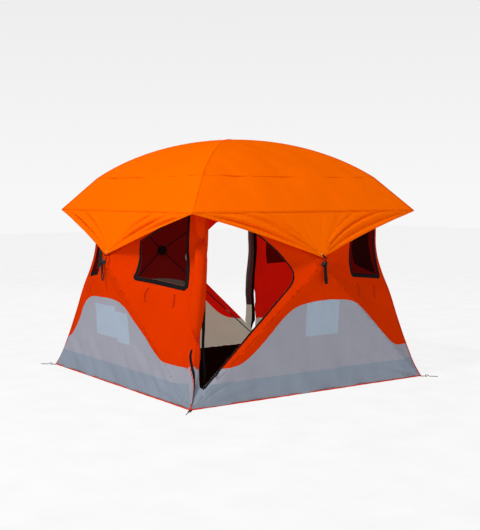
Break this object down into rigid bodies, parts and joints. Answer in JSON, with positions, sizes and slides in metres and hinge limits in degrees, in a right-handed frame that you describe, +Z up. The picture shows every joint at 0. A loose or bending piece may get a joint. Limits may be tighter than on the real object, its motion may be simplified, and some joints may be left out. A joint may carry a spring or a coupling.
{
  "type": "pop-up hub shelter",
  "caption": "Square pop-up fabric shelter with a domed fly, hub-and-pole walls, roll-up doors, mesh windows and pull straps.",
  "frame": {"origin": "middle of the underside of the floor sheet", "axes": "+Z up; the front wall, with a door beside its left seam, faces -Y"},
  "size_m": [2.5748, 2.5748, 2.045],
  "materials": {
    "wall_cloth": "matte",
    "fly_cloth": "satin",
    "floor_cloth": "matte",
    "screen_mesh": "matte",
    "black_webbing": "matte",
    "orange_webbing": "matte",
    "fibreglass": "gloss",
    "steel": "satin",
    "hub_plastic": "matte",
    "painted_steel": "satin",
    "zip_metal": "satin"
  },
  "bodies": {
    "shelter": {"floor_sheet": "floor_cloth", "wall_front": "wall_cloth", "wall_right": "wall_cloth", "wall_back": "wall_cloth", "wall_left": "wall_cloth", "mesh_screens": "screen_mesh", "window_bindings": "black_webbing", "door_zip_tapes": "black_webbing", "roof_canopy": "wall_cloth", "fly_cover": "fly_cloth", "bottom_corner_brackets": "painted_steel", "top_corner_brackets": "painted_steel", "tip_pins": "steel", "eave_struts": "fibreglass", "door_flaps": "wall_cloth", "door_ties": "orange_webbing", "anchor_tabs": "black_webbing", "ground_stakes": "steel", "fly_tabs": "black_webbing"},
    "hub_front": {"hub_front": "hub_plastic", "hub_pins_front": "steel", "hub_cap_front": "hub_plastic"},
    "pole_front_bottom_left": {"pole_front_bottom_left": "fibreglass"},
    "pole_front_bottom_right": {"pole_front_bottom_right": "fibreglass"},
    "pole_front_top_left": {"pole_front_top_left": "fibreglass"},
    "pole_front_top_right": {"pole_front_top_right": "fibreglass"},
    "pull_strap_front": {"pull_strap_front": "black_webbing"},
    "hub_right": {"hub_right": "hub_plastic", "hub_pins_right": "steel", "hub_cap_right": "hub_plastic"},
    "pole_right_bottom_left": {"pole_right_bottom_left": "fibreglass"},
    "pole_right_bottom_right": {"pole_right_bottom_right": "fibreglass"},
    "pole_right_top_left": {"pole_right_top_left": "fibreglass"},
    "pole_right_top_right": {"pole_right_top_right": "fibreglass"},
    "pull_strap_right": {"pull_strap_right": "black_webbing"},
    "hub_back": {"hub_back": "hub_plastic", "hub_pins_back": "steel", "hub_cap_back": "hub_plastic"},
    "pole_back_bottom_left": {"pole_back_bottom_left": "fibreglass"},
    "pole_back_bottom_right": {"pole_back_bottom_right": "fibreglass"},
    "pole_back_top_left": {"pole_back_top_left": "fibreglass"},
    "pole_back_top_right": {"pole_back_top_right": "fibreglass"},
    "pull_strap_back": {"pull_strap_back": "black_webbing"},
    "hub_left": {"hub_left": "hub_plastic", "hub_pins_left": "steel", "hub_cap_left": "hub_plastic"},
    "pole_left_bottom_left": {"pole_left_bottom_left": "fibreglass"},
    "pole_left_bottom_right": {"pole_left_bottom_right": "fibreglass"},
    "pole_left_top_left": {"pole_left_top_left": "fibreglass"},
    "pole_left_top_right": {"pole_left_top_right": "fibreglass"},
    "pull_strap_left": {"pull_strap_left": "black_webbing"},
    "hub_roof": {"hub_roof": "hub_plastic", "hub_pins_roof": "steel", "hub_cap_roof": "hub_plastic"},
    "pole_roof_front_left": {"pole_roof_front_left": "fibreglass"},
    "pole_roof_front_right": {"pole_roof_front_right": "fibreglass"},
    "pole_roof_back_right": {"pole_roof_back_right": "fibreglass"},
    "pole_roof_back_left": {"pole_roof_back_left": "fibreglass"},
    "zip_slider_front": {"zip_slider_front": "zip_metal"},
    "zip_slider_back": {"zip_slider_back": "zip_metal"}
  },
  "joints": [
    {"name": "hub_front_push", "type": "slide", "parent": "shelter", "child": "hub_front", "axis": [0, -0.9843, 0.1766], "range_m": [-0.4948, 0], "deforming": ["wall_front", "mesh_screens", "window_bindings", "fly_cover", "fly_tabs", "door_zip_tapes", "door_flaps", "door_ties"]},
    {"name": "pole_front_bottom_left_pin", "type": "hinge", "parent": "hub_front", "child": "pole_front_bottom_left", "pos_m": [-0.02447, -1.23115, 0.99405], "axis": [0.6445, -0.1351, -0.7526], "range_deg": [-19.95, 0]},
    {"name": "pole_front_bottom_right_pin", "type": "hinge", "parent": "hub_front", "child": "pole_front_bottom_right", "pos_m": [0.02447, -1.23115, 0.99405], "axis": [0.6445, 0.1351, 0.7526], "range_deg": [-19.95, 0]},
    {"name": "pole_front_top_left_pin", "type": "hinge", "parent": "hub_front", "child": "pole_front_top_left", "pos_m": [-0.02443, -1.22385, 1.03469], "axis": [-0.646, -0.1348, -0.7514], "range_deg": [-27.48, 0]},
    {"name": "pole_front_top_right_pin", "type": "hinge", "parent": "hub_front", "child": "pole_front_top_right", "pos_m": [0.02443, -1.22385, 1.03469], "axis": [-0.646, 0.1348, 0.7514], "range_deg": [-27.48, 0]},
    {"name": "pull_strap_front_swing", "type": "hinge", "parent": "hub_front", "child": "pull_strap_front", "pos_m": [0, -1.28164, 1.02406], "axis": [-1, 0, 0], "range_deg": [0, 90]},
    {"name": "hub_right_push", "type": "slide", "parent": "shelter", "child": "hub_right", "axis": [0.9843, 0, 0.1766], "range_m": [-0.4948, 0], "deforming": ["wall_right", "mesh_screens", "window_bindings", "fly_cover", "fly_tabs"]},
    {"name": "pole_right_bottom_left_pin", "type": "hinge", "parent": "hub_right", "child": "pole_right_bottom_left", "pos_m": [1.23115, -0.02447, 0.99405], "axis": [0.1351, 0.6445, -0.7526], "range_deg": [-19.95, 0]},
    {"name": "pole_right_bottom_right_pin", "type": "hinge", "parent": "hub_right", "child": "pole_right_bottom_right", "pos_m": [1.23115, 0.02447, 0.99405], "axis": [-0.1351, 0.6445, 0.7526], "range_deg": [-19.95, 0]},
    {"name": "pole_right_top_left_pin", "type": "hinge", "parent": "hub_right", "child": "pole_right_top_left", "pos_m": [1.22385, -0.02443, 1.03469], "axis": [0.1348, -0.646, -0.7514], "range_deg": [-27.48, 0]},
    {"name": "pole_right_top_right_pin", "type": "hinge", "parent": "hub_right", "child": "pole_right_top_right", "pos_m": [1.22385, 0.02443, 1.03469], "axis": [-0.1348, -0.646, 0.7514], "range_deg": [-27.48, 0]},
    {"name": "pull_strap_right_swing", "type": "hinge", "parent": "hub_right", "child": "pull_strap_right", "pos_m": [1.28164, 0, 1.02406], "axis": [0, -1, 0], "range_deg": [0, 90]},
    {"name": "hub_back_push", "type": "slide", "parent": "shelter", "child": "hub_back", "axis": [0, 0.9843, 0.1766], "range_m": [-0.4948, 0], "deforming": ["wall_back", "mesh_screens", "window_bindings", "fly_cover", "fly_tabs", "door_zip_tapes", "door_flaps", "door_ties"]},
    {"name": "pole_back_bottom_left_pin", "type": "hinge", "parent": "hub_back", "child": "pole_back_bottom_left", "pos_m": [0.02447, 1.23115, 0.99405], "axis": [-0.6445, 0.1351, -0.7526], "range_deg": [-19.95, 0]},
    {"name": "pole_back_bottom_right_pin", "type": "hinge", "parent": "hub_back", "child": "pole_back_bottom_right", "pos_m": [-0.02447, 1.23115, 0.99405], "axis": [-0.6445, -0.1351, 0.7526], "range_deg": [-19.95, 0]},
    {"name": "pole_back_top_left_pin", "type": "hinge", "parent": "hub_back", "child": "pole_back_top_left", "pos_m": [0.02443, 1.22385, 1.03469], "axis": [0.646, 0.1348, -0.7514], "range_deg": [-27.48, 0]},
    {"name": "pole_back_top_right_pin", "type": "hinge", "parent": "hub_back", "child": "pole_back_top_right", "pos_m": [-0.02443, 1.22385, 1.03469], "axis": [0.646, -0.1348, 0.7514], "range_deg": [-27.48, 0]},
    {"name": "pull_strap_back_swing", "type": "hinge", "parent": "hub_back", "child": "pull_strap_back", "pos_m": [0, 1.28164, 1.02406], "axis": [1, 0, 0], "range_deg": [0, 90]},
    {"name": "hub_left_push", "type": "slide", "parent": "shelter", "child": "hub_left", "axis": [-0.9843, 0, 0.1766], "range_m": [-0.4948, 0], "deforming": ["wall_left", "mesh_screens", "window_bindings", "fly_cover", "fly_tabs"]},
    {"name": "pole_left_bottom_left_pin", "type": "hinge", "parent": "hub_left", "child": "pole_left_bottom_left", "pos_m": [-1.23115, 0.02447, 0.99405], "axis": [-0.1351, -0.6445, -0.7526], "range_deg": [-19.95, 0]},
    {"name": "pole_left_bottom_right_pin", "type": "hinge", "parent": "hub_left", "child": "pole_left_bottom_right", "pos_m": [-1.23115, -0.02447, 0.99405], "axis": [0.1351, -0.6445, 0.7526], "range_deg": [-19.95, 0]},
    {"name": "pole_left_top_left_pin", "type": "hinge", "parent": "hub_left", "child": "pole_left_top_left", "pos_m": [-1.22385, 0.02443, 1.03469], "axis": [-0.1348, 0.646, -0.7514], "range_deg": [-27.48, 0]},
    {"name": "pole_left_top_right_pin", "type": "hinge", "parent": "hub_left", "child": "pole_left_top_right", "pos_m": [-1.22385, -0.02443, 1.03469], "axis": [0.1348, 0.646, 0.7514], "range_deg": [-27.48, 0]},
    {"name": "pull_strap_left_swing", "type": "hinge", "parent": "hub_left", "child": "pull_strap_left", "pos_m": [-1.28164, 0, 1.02406], "axis": [0, 1, 0], "range_deg": [0, 90]},
    {"name": "hub_roof_push", "type": "slide", "parent": "shelter", "child": "hub_roof", "axis": [0, 0, 1], "range_m": [-0.581, 0], "deforming": ["roof_canopy", "fly_cover"]},
    {"name": "pole_roof_front_left_pin", "type": "hinge", "parent": "hub_roof", "child": "pole_roof_front_left", "pos_m": [-0.02263, -0.02263, 1.997], "axis": [0.7071, -0.7071, 0], "range_deg": [-29.95, 0]},
    {"name": "pole_roof_front_right_pin", "type": "hinge", "parent": "hub_roof", "child": "pole_roof_front_right", "pos_m": [0.02263, -0.02263, 1.997], "axis": [0.7071, 0.7071, 0], "range_deg": [-29.95, 0]},
    {"name": "pole_roof_back_right_pin", "type": "hinge", "parent": "hub_roof", "child": "pole_roof_back_right", "pos_m": [0.02263, 0.02263, 1.997], "axis": [-0.7071, 0.7071, 0], "range_deg": [-29.95, 0]},
    {"name": "pole_roof_back_left_pin", "type": "hinge", "parent": "hub_roof", "child": "pole_roof_back_left", "pos_m": [-0.02263, 0.02263, 1.997], "axis": [-0.7071, -0.7071, 0], "range_deg": [-29.95, 0]},
    {"name": "zip_slider_front_run", "type": "slide", "parent": "shelter", "child": "zip_slider_front", "axis": [0.7319, -0.0407, 0.6802], "range_m": [0, 0.83]},
    {"name": "zip_slider_back_run", "type": "slide", "parent": "shelter", "child": "zip_slider_back", "axis": [-0.7319, 0.0407, 0.6802], "range_m": [0, 0.83]}
  ],
  "couplings": [
    {"joint": "pole_front_bottom_left_pin", "follows": "hub_front_push", "rad_per_m": 0.70293},
    {"joint": "pole_front_bottom_right_pin", "follows": "hub_front_push", "rad_per_m": 0.70293},
    {"joint": "pole_front_top_left_pin", "follows": "hub_front_push", "rad_per_m": 0.96866},
    {"joint": "pole_front_top_right_pin", "follows": "hub_front_push", "rad_per_m": 0.96866},
    {"joint": "pole_right_bottom_left_pin", "follows": "hub_right_push", "rad_per_m": 0.70293},
    {"joint": "pole_right_bottom_right_pin", "follows": "hub_right_push", "rad_per_m": 0.70293},
    {"joint": "pole_right_top_left_pin", "follows": "hub_right_push", "rad_per_m": 0.96866},
    {"joint": "pole_right_top_right_pin", "follows": "hub_right_push", "rad_per_m": 0.96866},
    {"joint": "pole_back_bottom_left_pin", "follows": "hub_back_push", "rad_per_m": 0.70293},
    {"joint": "pole_back_bottom_right_pin", "follows": "hub_back_push", "rad_per_m": 0.70293},
    {"joint": "pole_back_top_left_pin", "follows": "hub_back_push", "rad_per_m": 0.96866},
    {"joint": "pole_back_top_right_pin", "follows": "hub_back_push", "rad_per_m": 0.96866},
    {"joint": "pole_left_bottom_left_pin", "follows": "hub_left_push", "rad_per_m": 0.70293},
    {"joint": "pole_left_bottom_right_pin", "follows": "hub_left_push", "rad_per_m": 0.70293},
    {"joint": "pole_left_top_left_pin", "follows": "hub_left_push", "rad_per_m": 0.96866},
    {"joint": "pole_left_top_right_pin", "follows": "hub_left_push", "rad_per_m": 0.96866},
    {"joint": "pole_roof_front_left_pin", "follows": "hub_roof_push", "rad_per_m": 0.89918},
    {"joint": "pole_roof_front_right_pin", "follows": "hub_roof_push", "rad_per_m": 0.89918},
    {"joint": "pole_roof_back_right_pin", "follows": "hub_roof_push", "rad_per_m": 0.89918},
    {"joint": "pole_roof_back_left_pin", "follows": "hub_roof_push", "rad_per_m": 0.89918}
  ]
}
